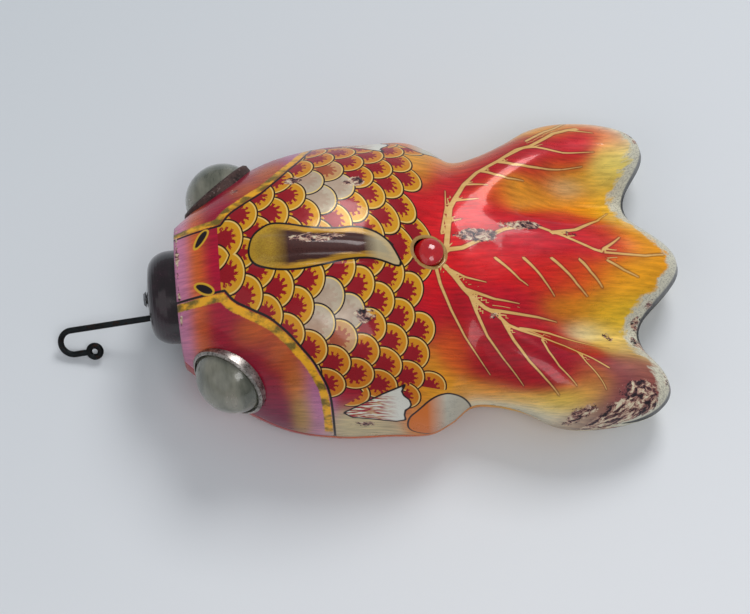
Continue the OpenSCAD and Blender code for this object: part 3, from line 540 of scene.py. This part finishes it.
def lithograph(name, scales=True):
    """Lithographed tinplate: glossy varnished inks on tin, streaky like an airbrush and rubbed off in places."""
    made = bpy.data.materials.new(name)
    made.use_nodes = True
    t = made.node_tree
    shader = t.nodes["Principled BSDF"]
    pattern = add(t, "Attribute", attribute_name="print", out="Vector")
    u = add(t, "SeparateXYZ", {0: pattern}, out=0)
    side = add(t, "SeparateXYZ", {0: pattern}, out=2)
    base = add(t, "Attribute", attribute_name="ink", out="Color")
    lines = add(t, "Attribute", attribute_name="lines", out="Vector")
    marks = add(t, "Attribute", attribute_name="marks", out="Vector")
    lattice = add(t, "Attribute", attribute_name="scales", out="Vector")
    rib, fin, fins = (add(t, "SeparateXYZ", {0: lines}, out=k) for k in range(3))
    more = add(t, "Attribute", attribute_name="ribs", out="Vector")
    rib_half, lower = (add(t, "SeparateXYZ", {0: more}, out=k) for k in range(2))
    rib = add(t, "Math", {0: add(t, "Math", {0: rib}, operation="ABSOLUTE"), 1: rib_half},
              operation="SUBTRACT")
    nostril, rubbed, ring = (add(t, "SeparateXYZ", {0: marks}, out=k) for k in range(3))
    gill = add(t, "SeparateXYZ", {0: lattice}, out=2)
    # The plate's stipple: streaks that follow the fins' rays, about 1 mm apart.
    stretched = add(t, "Mapping", {0: pattern, 3: (0.12, 0.8, 0.0)})
    streak = add(t, "TexNoise", {"Vector": stretched, "Scale": 1.0, "Detail": 4.0, "Roughness": 0.65})
    cloud = add(t, "TexNoise", {"Vector": pattern, "Scale": 0.16, "Detail": 5.0, "Roughness": 0.6})
    grain = add(t, "TexNoise", {"Vector": pattern, "Scale": 1.6, "Detail": 3.0, "Roughness": 0.7})
    shade = add(t, "ValToRGB", {"Fac": streak},
                stops=[(0.3, (0.62, 0.6, 0.6, 1)), (0.5, (1, 1, 1, 1)), (0.72, (1.45, 1.35, 1.2, 1))])
    colour = add(t, "MixRGB", {"Fac": 0.75, "Color1": base, "Color2": shade}, blend_type="MULTIPLY")
    # Gill cover: black edge, then a worn olive-gold band.
    wobble = add(t, "Math", {0: grain, 1: 1.2, 2: -0.6}, operation="MULTIPLY_ADD")
    gill_edge = add(t, "Math", {0: gill, 1: wobble}, operation="ADD")
    inner = add(t, "Math", {0: gill_edge, 1: 2.0}, operation="ADD")
    inner = add(t, "Math", {0: inner}, operation="ABSOLUTE")
    gold = over(t, ink("7A6420"), ink("F4B020"), add(t, "MapRange", {0: cloud, 1: 0.4, 2: 0.56}))
    if scales:
        colour = scale_pattern(t, colour, lattice, u, side, gill, cloud)
        band = add(t, "Math", {0: mask(t, inner, 1.4, 0.4), 1: mask(t, side, 76, 2)}, operation="MULTIPLY")
        colour = over(t, colour, gold, band)
        line = add(t, "Math", {0: gill}, operation="ABSOLUTE")
        colour = over(t, colour, ink("160A10"), mask(t, line, 0.42, 0.25))
    # Back fin: streaky ochre rim, dark worn middle, black outline.
    fin_wave = add(t, "Math", {0: streak, 1: 3.4, 2: -1.7}, operation="MULTIPLY_ADD")
    fin_deep = add(t, "Math", {0: fin, 1: fin_wave}, operation="ADD")
    fin_tint = over(t, ink("1C0E12"), ink("5A2E26"), grain)
    fin_rim = over(t, ink("9A5418"), ink("E2B428"), streak)
    fin_tint = over(t, fin_tint, fin_rim, mask(t,
                                               add(t, "Math", {0: fin_deep, 1: -1.0}, operation="MULTIPLY"),
                                               2.2, 1.4))
    tip = add(t, "Math", {0: u, 1: -1.0}, operation="MULTIPLY")
    fin_tint = over(t, fin_tint, ink("CBBE9A"),
                    add(t, "Math", {0: mask(t, tip, -68, 5), 1: 0.7}, operation="MULTIPLY"))
    root = add(t, "Math", {0: mask(t, u, 37, 6), 1: 0.8}, operation="MULTIPLY")
    fin_tint = over(t, fin_tint, over(t, ink("8A4A1C"), ink("DDBE34"), grain), root)
    colour = over(t, colour, fin_tint, mask(t, fin, 0.0, 0.2))
    colour = over(t, colour, ink("12070C"), mask(t, add(t, "Math", {0: fin}, operation="ABSOLUTE"), 0.38,
                                                 0.22))
    # Lower fins: cream with crimson rays and a black edge.
    rays = add(t, "TexNoise", {"Vector": stretched, "Scale": 1.7, "Detail": 2.0})
    fin_pale = add(t, "ValToRGB", {"Fac": rays},
                   stops=[(0.44, ink("A01030")), (0.5, ink("C8A070")), (0.55, ink("DCD8C6")),
                          (0.7, ink("E2E0D6"))])
    pale_end = add(t, "MapRange", {0: u, 1: 66.0, 2: 73.0})
    fin_pale = over(t, fin_pale, ink("DEDCD0"), pale_end)
    colour = over(t, colour, fin_pale, mask(t, fins, 0.0, 0.2))
    colour = over(t, colour, ink("1A0A10"), mask(t, add(t, "Math", {0: fins}, operation="ABSOLUTE"), 0.32,
                                                 0.22))
    # The lowest fin lobe: orange at its root, greyed cream at its rim.
    lobe = add(t, "MapRange", {0: u, 1: 83.0, 2: 90.0})
    lobe_tint = over(t, ink("D8701C"), over(t, ink("A8A294"), ink("DAD6C2"), cloud), lobe)
    colour = over(t, colour, lobe_tint, mask(t, lower, 0.0, 0.2))
    colour = over(t, colour, ink("1A0A10"), mask(t, add(t, "Math", {0: lower}, operation="ABSOLUTE"), 0.32,
                                                 0.22))
    # The tail's rim: pale ground coat greyed by handling, and painted shade: the lower part of the rim's wall,
    # down to the seam, is painted near black.
    rim_place = add(t, "Math", {0: u, 1: -1.0}, operation="MULTIPLY")
    ragged = add(t, "Math", {0: rim_place, 1: add(t, "Math", {0: cloud, 1: -14.0}, operation="MULTIPLY")},
                 operation="ADD")
    rim_tint = over(t, ink("DCD8C2"), ink("9C988C"), add(t, "MapRange", {0: grain, 1: 0.45, 2: 0.7}))
    colour = over(t, colour, rim_tint, mask(t, ragged, -179.5, 2.0))
    colour = over(t, colour, ink("1C1A1C"), mask(t, rim_place, -176.7, 0.4))
    # Tail ribs: gold strands broken where they are worn, with painted shade along both sides of each, standing
    # in for the shadow of an embossed rib.
    colour = over(t, colour, ink("4A0614"), add(t, "Math", {0: mask(t, rib, 0.35, 0.4), 1: 0.55},
                                                operation="MULTIPLY"))
    strand = over(t, ink("CC9038"), ink("F2D08C"), streak)
    broken = add(t, "Math", {0: rib, 1: add(t, "Math", {0: cloud, 1: 1.2, 2: -0.72},
                                            operation="MULTIPLY_ADD", use_clamp=True)}, operation="ADD")
    colour = over(t, colour, strand, mask(t, broken, 0.0, 0.25))
    # Nostrils: black drops with a yellow edge.
    colour = over(t, colour, ink("D8A92C"), mask(t, nostril, 0.7, 0.25))
    colour = over(t, colour, ink("140810"), mask(t, nostril, 0.0, 0.25))
    # Printed gold ring round the switch button.
    ring_gold = over(t, ink("8E6A34"), ink("C8A264"), grain)
    colour = over(t, colour, ring_gold, mask(t, ring, 6.5, 0.25))
    # Wear: ink rubbed thin to the tin and cream ground, dark grime where it is deepest, and rust freckles.
    worn = add(t, "Math", {0: rubbed, 1: cloud}, operation="ADD")
    worn = add(t, "Math", {0: worn, 1: add(t, "Math", {0: grain, 1: 0.5}, operation="MULTIPLY")},
               operation="ADD")
    # Blisters about 2 mm across, dark where the tin shows and pale where only the ground coat is left.
    blister = add(t, "TexNoise", {"Vector": pattern, "Scale": 0.33, "Detail": 7.0, "Roughness": 0.72,
                                  "Distortion": 0.6})
    fleck = add(t, "ValToRGB", {"Fac": blister},
                stops=[(0.38, ink("1C161C")), (0.45, ink("34222A")), (0.49, ink("7C4E4C")),
                       (0.53, ink("C09884")), (0.6, ink("DCD2B4"))])
    colour = over(t, colour, fleck, mask(t, add(t, "Math", {0: worn, 1: -1.0}, operation="MULTIPLY"), -1.3,
                                         0.06))
    speck = add(t, "TexNoise", {"Vector": pattern, "Scale": 0.9, "Detail": 6.0, "Roughness": 0.8})
    rust = mask(t, add(t, "Math", {0: speck, 1: -1.0}, operation="MULTIPLY"), -0.69, 0.03)
    colour = over(t, colour, ink("3A1C14"), add(t, "Math", {0: rust, 1: 0.8}, operation="MULTIPLY"))
    t.links.new(colour, shader.inputs["Base Color"])
    rough = add(t, "MapRange", {0: worn, 1: 0.6, 2: 1.5, 3: 0.26, 4: 0.62})
    t.links.new(rough, shader.inputs["Roughness"])
    shader.inputs["Metallic"].default_value = 0.1
    shader.inputs["Specular IOR Level"].default_value = 0.2
    shader.inputs["Coat Weight"].default_value = 0.35
    shader.inputs["Coat Roughness"].default_value = 0.08
    dents = add(t, "TexNoise", {"Vector": pattern, "Scale": 0.09, "Detail": 2.0})
    height = add(t, "Math", {0: dents, 1: 0.6,
                             2: add(t, "Math", {0: grain, 1: 0.03}, operation="MULTIPLY")},
                 operation="MULTIPLY_ADD")
    bump = add(t, "Bump", {"Strength": 0.35, "Distance": 0.0012, "Height": height})
    t.links.new(bump, shader.inputs["Normal"])
    return made


SCALE_R = 6.9
ALONG_STEP, OUTWARD_STEP = (10.3, -2.8, 0), (7.0, 5.6,
                                             0)  # from one scale to the next, both ways over the lattice
LAST_SCALE_U, LAST_SCALE_V = 84.0, 54.0


def scale_pattern(t, colour, lattice, u, side, gill, cloud):
    """Overlapping round scales on a slanting lattice, the forward ones on top."""
    fraction = add(t, "VectorMath", {0: lattice}, operation="FRACTION")
    here = add(t, "CombineXYZ", {0: u, 1: side, 2: 0.0})
    chosen, covered = None, None
    for corner in ((1, 1), (1, 0), (0, 1), (0, 0)):
        step = add(t, "VectorMath", {0: fraction, 1: (corner[0], corner[1], 0)}, operation="SUBTRACT")
        along, outward = (add(t, "SeparateXYZ", {0: step}, out=k) for k in (0, 1))
        first = add(t, "VectorMath", {0: ALONG_STEP, "Scale": along}, operation="SCALE")
        local = add(t, "VectorMath", {0: OUTWARD_STEP, "Scale": outward}, operation="SCALE")
        local = add(t, "VectorMath", {0: first, 1: local}, operation="ADD")
        size = add(t, "VectorMath", {0: local}, operation="LENGTH", out="Value")
        centre = add(t, "VectorMath", {0: here, 1: local}, operation="SUBTRACT")
        centre_u, centre_v = (add(t, "SeparateXYZ", {0: centre}, out=k) for k in (0, 1))
        slant = add(t, "Math", {0: centre_v, 1: 0.82, 2: 4.0}, operation="MULTIPLY_ADD")
        inside = add(t, "Math", {0: size, 1: SCALE_R}, operation="LESS_THAN")
        for small, large in ((centre_u, LAST_SCALE_U), (centre_v, LAST_SCALE_V), (slant, centre_u)):
            test = add(t, "Math", {0: small, 1: large}, operation="LESS_THAN")
            inside = add(t, "Math", {0: inside, 1: test}, operation="MULTIPLY")
        if chosen is None:
            chosen, covered = local, inside
        else:
            chosen = add(t, "MixRGB", {"Fac": inside, "Color1": chosen, "Color2": local})
            covered = add(t, "Math", {0: covered, 1: inside}, operation="MAXIMUM")
    size = add(t, "VectorMath", {0: chosen}, operation="LENGTH", out="Value")
    centre = add(t, "VectorMath", {0: here, 1: chosen}, operation="SUBTRACT")
    toward = add(t, "VectorMath", {0: chosen}, operation="NORMALIZE")
    fan = add(t, "VectorMath", {0: toward, 1: centre}, operation="ADD")
    rays = add(t, "TexNoise", {"Vector": fan, "Scale": 4.5, "Detail": 2.0, "Roughness": 0.6})
    # Golden yellow along the back, orange lower down the flanks.
    low = add(t, "MapRange", {0: side, 1: 18.0, 2: 50.0})
    gold = over(t, ink("E0A21A"), ink("D97A10"), low)
    gold = over(t, gold, ink("B87A10"), add(t, "Math", {0: cloud, 1: 0.5}, operation="MULTIPLY"))
    # Worn pale scales behind the gill.
    centre_gap = add(t, "VectorMath", {0: centre, 1: (54, 25, 0)}, operation="DISTANCE", out="Value")
    pale_tone = over(t, ink("D8D2C0"), ink("8E8478"), cloud)
    pale = add(t, "Math", {0: mask(t, centre_gap, 8.5, 2.0), 1: 0.85}, operation="MULTIPLY")
    gold = over(t, gold, pale_tone, pale)
    # The red heart of a scale has short strokes round it, 26 degrees apart.
    turn = add(t, "Math", {0: add(t, "SeparateXYZ", {0: toward}, out=1),
                           1: add(t, "SeparateXYZ", {0: toward}, out=0)}, operation="ARCTAN2")
    stroke = add(t, "Math", {0: add(t, "Math",
                                    {0: turn, 1: 11.0,
                                     2: add(t, "Math", {0: rays, 1: 7.0}, operation="MULTIPLY")},
                                    operation="MULTIPLY_ADD")}, operation="SINE")
    edge = add(t, "Math", {0: add(t, "Math", {0: stroke, 1: 2.2, 2: 0.5}, operation="MULTIPLY_ADD",
                                  use_clamp=True), 1: 1.3, 2: 1.6}, operation="MULTIPLY_ADD")
    edge = add(t, "Math", {0: rays, 1: 2.0, 2: edge}, operation="MULTIPLY_ADD")
    core = mask(t, add(t, "Math", {0: size, 1: edge}, operation="SUBTRACT"), 0.3, 0.25)
    core_tint = over(t, ink("86041A"), ink("A60E1C"), rays)
    disc = over(t, gold, core_tint, add(t, "Math",
                                        {0: core,
                                         1: add(t, "Math", {0: pale, 1: -1.0, 2: 1.0},
                                                operation="MULTIPLY_ADD")}, operation="MULTIPLY"))
    rim = add(t, "Math", {0: size, 1: SCALE_R - 0.78}, operation="SUBTRACT")
    disc = over(t, disc, ink("EBCB78"), mask(t, add(t, "Math", {0: rim}, operation="ABSOLUTE"), 0.2, 0.2))
    outline = add(t, "Math", {0: size, 1: -1.0}, operation="MULTIPLY")
    disc = over(t, disc, ink("1E0810"), mask(t, outline, -(SCALE_R - 0.5), 0.16))
    behind = add(t, "Math", {0: gill, 1: -1.0}, operation="MULTIPLY")
    covered = add(t, "Math", {0: covered, 1: mask(t, behind, 0.2, 0.2)}, operation="MULTIPLY")
    front = add(t, "Math", {0: u, 1: -1.0}, operation="MULTIPLY")
    covered = add(t, "Math", {0: covered, 1: mask(t, front, -15.8, 0.2)}, operation="MULTIPLY")
    return over(t, colour, disc, covered)


back_ink = lithograph("varnished_lithographed_tinplate")


def build_back():
    """The upper shell, with holes for the eyes and the button."""
    mesh = shell("back_printed_shell", back_surface, 200, 172, INKS)
    bm = bmesh.new()
    bm.from_mesh(mesh)
    open_eyes(bm)
    button = ((BUTTON_X + NOSE_X) * MM, 0, ROOT_H * MM)
    cut_round(bm, button, (0, 0, 1), BUTTON_HOLE * MM, BUTTON_REACH * MM)
    bm.to_mesh(mesh)
    bm.free()
    return finish_mesh("back_printed_shell", mesh, "lantern", "back_shell", back_ink, WALL * MM)


build_back()

belly_ink = lithograph("varnished_lithographed_tinplate_under", scales=False)
BELLY_INKS = [(6, 0, 8, 40, "A81428"), (22, 0, 14, 26, "C8641C"), (30, 44, 12, 10, "A02030"),
              (30, -44, 12, 10, "A02030"), (60, 0, 24, 24, "D9921E"),
              (66, 46, 16, 8, "CC5A1C"), (66, -46, 16, 8, "CC5A1C"), (96, 0, 14, 20, "C8301C"),
              (96, 40, 10, 10, "D88A1E"), (96, -40, 10, 10, "D88A1E"),
              (124, 0, 14, 20, "C04020"), (126, 44, 14, 12, "DCA42C"), (126, -44, 14, 12, "DCA42C"),
              (152, 0, 12, 26, "DCA030"), (166, 0, 12, 60, "D0C8B0")]


def build_belly():
    """The lower shell, with holes for the eyes and the battery door."""
    mesh = shell("belly_printed_shell", belly_surface, 160, 120, BELLY_INKS, underside=True)
    bm = bmesh.new()
    bm.from_mesh(mesh)
    bmesh.ops.reverse_faces(bm, faces=bm.faces)
    low, high = DOOR_HOLE
    for axis, place in ((0, low[0]), (0, high[0]), (1, low[1]), (1, high[1])):
        normal = Vector((1, 0, 0)) if axis == 0 else Vector((0, 1, 0))
        flat_faces = [f for f in bm.faces if f.calc_center_median().z < BELLY_LOW * MM]
        flat_edges = {edge for f in flat_faces for edge in f.edges}
        flat_points = {vert for f in flat_faces for vert in f.verts}
        geom = flat_faces + list(flat_edges) + list(flat_points)
        bmesh.ops.bisect_plane(bm, geom=geom, plane_co=normal * place * MM, plane_no=normal, dist=1e-7)
    inside = [f for f in bm.faces if low[0] * MM < f.calc_center_median().x < high[0] * MM
              and low[1] * MM < f.calc_center_median().y < high[1] * MM
              and f.calc_center_median().z < BELLY_LOW * MM]
    bmesh.ops.delete(bm, geom=inside, context="FACES")
    open_eyes(bm)
    bm.to_mesh(mesh)
    bm.free()
    return finish_mesh("belly_printed_shell", mesh, "lantern", "belly_shell", belly_ink,
                       WALL * MM)


build_belly()


# ---------------------------------------------------------------- finishes of the fittings
def finish(name, dark, light, grain, rough, metal=0.0, coat=0.0, depth=0.0, spots=None, stretch=(1, 1, 1),
           clear=0.0):
    """A two-tone surface: grain and bump depth in mm, a range of roughness, and spots as (colour, mm, share)."""
    made = bpy.data.materials.new(name)
    made.use_nodes = True
    t = made.node_tree
    shader = t.nodes["Principled BSDF"]
    place = add(t, "Mapping", {0: add(t, "TexCoord", out="Object"),
                               3: tuple(k / (grain * MM) for k in stretch)})
    fine = add(t, "TexNoise", {"Vector": place, "Scale": 1.0, "Detail": 6.0, "Roughness": 0.65})
    broad = add(t, "TexNoise", {"Vector": place, "Scale": 0.21, "Detail": 3.0})
    blend = add(t, "Math", {0: fine, 1: broad}, operation="ADD")
    share = add(t, "MapRange", {0: blend, 1: 0.78, 2: 1.22})
    colour = over(t, ink(dark), ink(light), share)
    roughness = add(t, "MapRange", {0: blend, 1: 0.75, 2: 1.25, 3: rough[0], 4: rough[1]})
    if spots:
        code, size, much = spots
        spotted = add(t, "TexNoise", {"Vector": add(t, "TexCoord", out="Object"), "Scale": 1 / (size * MM),
                                      "Detail": 5.0, "Roughness": 0.75})
        there = mask(t, add(t, "Math", {0: spotted, 1: -1.0}, operation="MULTIPLY"), -(0.68 - 0.3 * much),
                     0.05)
        colour = over(t, colour, ink(code), there)
        roughness = add(t, "Math", {0: roughness,
                                    1: add(t, "Math", {0: there, 1: 0.35}, operation="MULTIPLY")},
                        operation="ADD", use_clamp=True)
    t.links.new(colour, shader.inputs["Base Color"])
    t.links.new(roughness, shader.inputs["Roughness"])
    shader.inputs["Metallic"].default_value = metal
    shader.inputs["Coat Weight"].default_value = coat
    shader.inputs["Transmission Weight"].default_value = clear
    if depth:
        t.links.new(add(t, "Bump", {"Strength": 1.0, "Distance": depth * MM, "Height": blend}),
                    shader.inputs["Normal"])
    return made


# Dull tinplate: soft grey crystals and a few rust freckles.
bare_tin = finish("dull_tinplate", "77766F", "A6A49B", 1.6, (0.32, 0.5), metal=0.9, depth=0.02,
                  spots=("4A2E1C", 2.2, 0.35))
# Phenolic moulding: near black maroon, satin with rubbed high spots.
mouth_plastic = finish("moulded_maroon_phenolic", "100209", "280A1A", 5.0, (0.15, 0.32), coat=0.3,
                       depth=0.02, spots=("4A2636", 1.5, 0.1))
# Painted shade: the nose plate is painted near black, standing in for the shadow gap between the mouth cap and
# the nose rim, with a few rubbed spots.
nose_gap_painted_shade = finish("nose_gap_painted_shade_black", "08070A", "18161A", 2.0, (0.3, 0.5), depth=0.01,
                       spots=("4A4440", 1.2, 0.15))
# Annealed iron wire: black scale with brown where it bends.
black_wire = finish("black_scaled_iron_wire", "0C0E0F", "23282A", 1.2, (0.35, 0.6), metal=0.75, depth=0.04,
                    spots=("3A241A", 1.6, 0.3))
# Nickel plate: bright but grimed and pitted.
nickel = finish("worn_nickel_plate", "807A74", "C9C2BC", 1.0, (0.25, 0.45), metal=1.0, depth=0.015,
                spots=("3A302C", 0.8, 0.3))
# The far ring has lost its plating and rusted brown.
rusty = finish("rusted_nickel_plate", "241A18", "5C4642", 1.3, (0.45, 0.75), metal=0.6, depth=0.05,
               spots=("9A8A84", 1.1, 0.2))
# Red stoving enamel on the button: deep gloss.
red_enamel = finish("red_stoved_enamel", "B0101C", "D01820", 3.0, (0.12, 0.25), coat=0.6, depth=0.01,
                    spots=("E06A50", 0.9, 0.06))
# Cold-rolled steel strip: drawn lines along its length.
steel = finish("cold_rolled_steel", "5C5E60", "96989A", 0.6, (0.3, 0.5), metal=1.0, depth=0.01,
               stretch=(0.1, 1, 1), spots=("4A2C1C", 1.8, 0.3))
brass = finish("tarnished_brass", "6E5424", "B08C46", 1.5, (0.28, 0.5), metal=1.0, depth=0.01,
               spots=("3C3018", 1.4, 0.35))
# Vulcanised fibre sheet: matt brown with a faint felted grain.
fibre = finish("vulcanised_fibre_sheet", "5A2418", "7E3A28", 0.5, (0.6, 0.85), depth=0.02)
cell_card = finish("waxed_card_cell_jacket", "24466A", "3A5E82", 2.2, (0.4, 0.6), depth=0.02,
                   spots=("8A949C", 2.5, 0.15))
bulb_clear = finish("blown_clear_glass", "E8ECEA", "F4F6F4", 4.0, (0.02, 0.06), clear=0.95)
solder = finish("tinned_copper_lead", "8A8880", "B4B2A8", 0.8, (0.3, 0.5), metal=1.0, depth=0.02)
door_coat = finish("chipped_orange_lacquer", "A8701C", "CC9630", 3.0, (0.3, 0.5), coat=0.3, depth=0.02,
                   spots=("6A645C", 2.0, 0.3))


def celluloid():
    """Clouded celluloid: milky grey-olive that lets the dark inside show through, with scuffs along it."""
    made = bpy.data.materials.new("clouded_celluloid")
    made.use_nodes = True
    t = made.node_tree
    shader = t.nodes["Principled BSDF"]
    place = add(t, "Mapping", {0: add(t, "TexCoord", out="Object"), 3: (160.0, 60.0, 60.0)})
    cloud = add(t, "TexNoise", {"Vector": place, "Scale": 1.0, "Detail": 4.0, "Roughness": 0.55})
    tint = add(t, "ValToRGB", {"Fac": cloud},
               stops=[(0.35, ink("6C6F60")), (0.55, ink("A3A291")), (0.75, ink("C0B8A8"))])
    t.links.new(tint, shader.inputs["Base Color"])
    t.links.new(add(t, "MapRange", {0: cloud, 1: 0.3, 2: 0.7, 3: 0.12, 4: 0.3}), shader.inputs["Roughness"])
    shader.inputs["IOR"].default_value = 1.49
    shader.inputs["Transmission Weight"].default_value = 0.45
    shader.inputs["Coat Weight"].default_value = 0.5
    shader.inputs["Coat Roughness"].default_value = 0.08
    return made


lens = celluloid()
FITTINGS = {
    "seam_tabs": bare_tin, "nose_plate": nose_gap_painted_shade, "mouth_cap": mouth_plastic, "cap_rivet": steel,
    "hook_pin": steel, "hook_wire": black_wire,
    "eye_seat_left": nickel, "eye_seat_right": rusty, "eye_lens_left": lens, "eye_lens_right": lens,
    "eye_bezel_left": nickel, "eye_bezel_right": rusty,
    "push_button": red_enamel, "button_spring": steel, "switch_plate": steel, "switch_leaf": brass,
    "switch_contact": brass, "switch_insulator": fibre,
    "battery_cradle": bare_tin, "battery_cell": cell_card, "front_insulator": fibre, "front_contact": brass,
    "rear_insulator": fibre, "rear_contact": brass,
    "bulb_bracket": steel, "bulb_socket": brass, "bulb_base": brass, "bulb_glass": bulb_clear,
    "bulb_lead": solder, "battery_door": door_coat,
    "door_frame": bare_tin, "door_hinge_pin": steel, "rivets": steel,
}
for node, material in FITTINGS.items():
    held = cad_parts[node]
    held.data.materials.clear()
    held.data.materials.append(material)


def coil_spring():
    """The return spring under the button: a helix of steel wire, standing at the height of the spring part."""
    (low_x, _, low_z), (high_x, _, high_z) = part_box("button_spring")
    wire, turns, steps = 0.25 * MM, 3, 120
    middle = Vector(((low_x + high_x) / 2, 0, 0))
    coil = (high_x - low_x) / 2 - wire
    rise = (high_z - low_z - 2 * wire) / steps
    bm = bmesh.new()
    bmesh.ops.create_circle(bm, segments=12, radius=wire, cap_ends=True)
    bmesh.ops.rotate(bm, verts=bm.verts, cent=(0, 0, 0), matrix=Matrix.Rotation(math.pi / 2, 3, "X"))
    bmesh.ops.translate(bm, verts=bm.verts, vec=middle + Vector((coil, 0, low_z + wire)))
    bmesh.ops.spin(bm, geom=bm.faces[:] + bm.edges[:] + bm.verts[:], cent=middle, axis=(0, 0, 1),
                   dvec=(0, 0, rise),
                   angle=2 * math.pi * turns, steps=steps, use_merge=False)
    bmesh.ops.recalc_face_normals(bm, faces=bm.faces)
    mesh = bpy.data.meshes.new("return_spring")
    bm.to_mesh(mesh)
    bm.free()
    spring = finish_mesh("return_spring", mesh, "lantern", "button_spring", steel)
    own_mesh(spring)


coil_spring()
